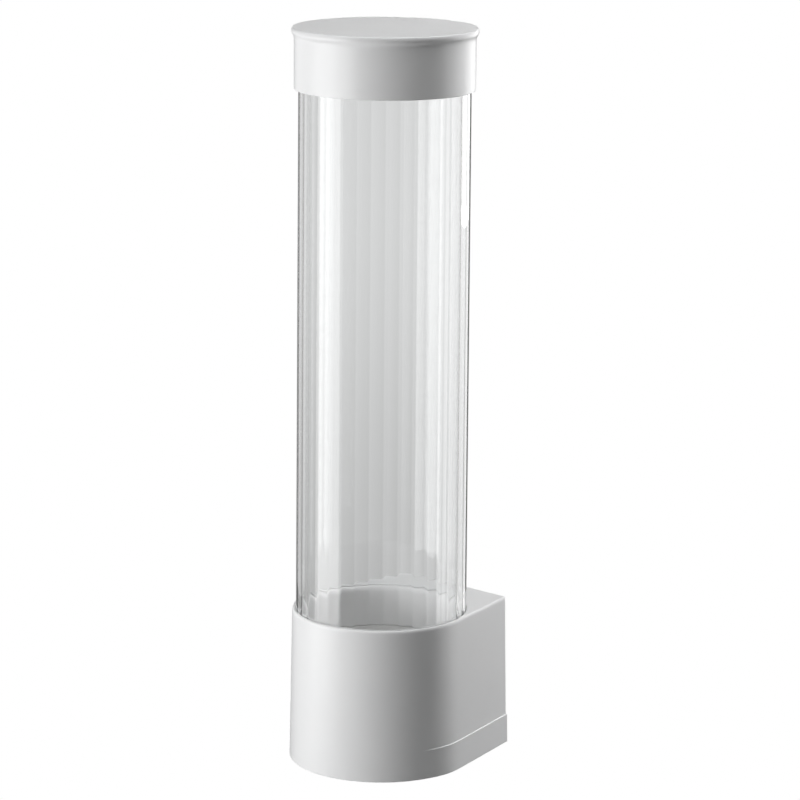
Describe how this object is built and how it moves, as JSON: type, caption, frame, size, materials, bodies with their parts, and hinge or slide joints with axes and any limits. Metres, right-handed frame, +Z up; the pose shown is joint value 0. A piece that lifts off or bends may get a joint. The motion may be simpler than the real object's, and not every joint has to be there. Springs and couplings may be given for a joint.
{
  "type": "cup dispenser",
  "caption": "Wall-hung pull-type cup dispenser: capped clear fluted tube in a white D-plan base with adjustable sprung retaining fingers, on a dovetail wall plate.",
  "frame": {"origin": "middle of the foam pad's face on the wall", "axes": "+Z up along the cup tube, +Y out of the back of the dispenser into the wall, +X to the right of someone who stands at the wall and looks at the dispenser's front"},
  "size_m": [0.0978, 0.1108, 0.388],
  "materials": {
    "white_plastic": "satin white moulded",
    "clear_plastic": "clear, polished",
    "natural_plastic": "natural uncoloured moulded",
    "screw_steel": "zinc plated",
    "foam_tape": "closed-cell foam tape"
  },
  "bodies": {
    "wall_mount": {"wall_plate": "white_plastic", "foam_pad": "foam_tape"},
    "base": {"housing": "white_plastic", "cup_guide": "natural_plastic", "bottom_cover": "white_plastic", "cover_screw_1": "screw_steel", "cover_screw_2": "screw_steel"},
    "tube": {"cup_tube": "clear_plastic"},
    "cap": {"lid": "white_plastic"},
    "finger_carrier_1": {"finger_foot_1": "natural_plastic", "finger_screw_1": "screw_steel"},
    "finger_carrier_2": {"finger_foot_2": "natural_plastic", "finger_screw_2": "screw_steel"},
    "finger_carrier_3": {"finger_foot_3": "natural_plastic", "finger_screw_3": "screw_steel"},
    "finger_carrier_4": {"finger_foot_4": "natural_plastic", "finger_screw_4": "screw_steel"},
    "finger_1": {"finger_blade_1": "natural_plastic"},
    "finger_2": {"finger_blade_2": "natural_plastic"},
    "finger_3": {"finger_blade_3": "natural_plastic"},
    "finger_4": {"finger_blade_4": "natural_plastic"}
  },
  "joints": [
    {"name": "base_lift", "type": "slide", "parent": "wall_mount", "child": "base", "axis": [0, 0, 1], "range_m": [0, 0.07]},
    {"name": "tube_lift", "type": "slide", "parent": "base", "child": "tube", "axis": [0, 0, 1], "range_m": [0, 0.04]},
    {"name": "lid_lift", "type": "slide", "parent": "tube", "child": "cap", "axis": [0, 0, 1], "range_m": [0, 0.045]},
    {"name": "finger_adjust_1", "type": "slide", "parent": "base", "child": "finger_carrier_1", "axis": [0.7071, 0.7071, 0], "range_m": [-0.001, 0.001]},
    {"name": "finger_adjust_2", "type": "slide", "parent": "base", "child": "finger_carrier_2", "axis": [-0.7071, 0.7071, 0], "range_m": [-0.001, 0.001]},
    {"name": "finger_adjust_3", "type": "slide", "parent": "base", "child": "finger_carrier_3", "axis": [-0.7071, -0.7071, 0], "range_m": [-0.001, 0.001]},
    {"name": "finger_adjust_4", "type": "slide", "parent": "base", "child": "finger_carrier_4", "axis": [0.7071, -0.7071, 0], "range_m": [-0.001, 0.001]},
    {"name": "finger_flex_1", "type": "hinge", "parent": "finger_carrier_1", "child": "finger_1", "pos_m": [0.02934, -0.03315, -0.0262], "axis": [0.7071, -0.7071, 0], "range_deg": [0, 60], "stiffness_Nm_per_rad": 0.006},
    {"name": "finger_flex_2", "type": "hinge", "parent": "finger_carrier_2", "child": "finger_2", "pos_m": [-0.02934, -0.03315, -0.0262], "axis": [0.7071, 0.7071, 0], "range_deg": [0, 60], "stiffness_Nm_per_rad": 0.006},
    {"name": "finger_flex_3", "type": "hinge", "parent": "finger_carrier_3", "child": "finger_3", "pos_m": [-0.02934, -0.09184, -0.0262], "axis": [-0.7071, 0.7071, 0], "range_deg": [0, 60], "stiffness_Nm_per_rad": 0.006},
    {"name": "finger_flex_4", "type": "hinge", "parent": "finger_carrier_4", "child": "finger_4", "pos_m": [0.02934, -0.09184, -0.0262], "axis": [-0.7071, -0.7071, 0], "range_deg": [0, 60], "stiffness_Nm_per_rad": 0.006}
  ]
}
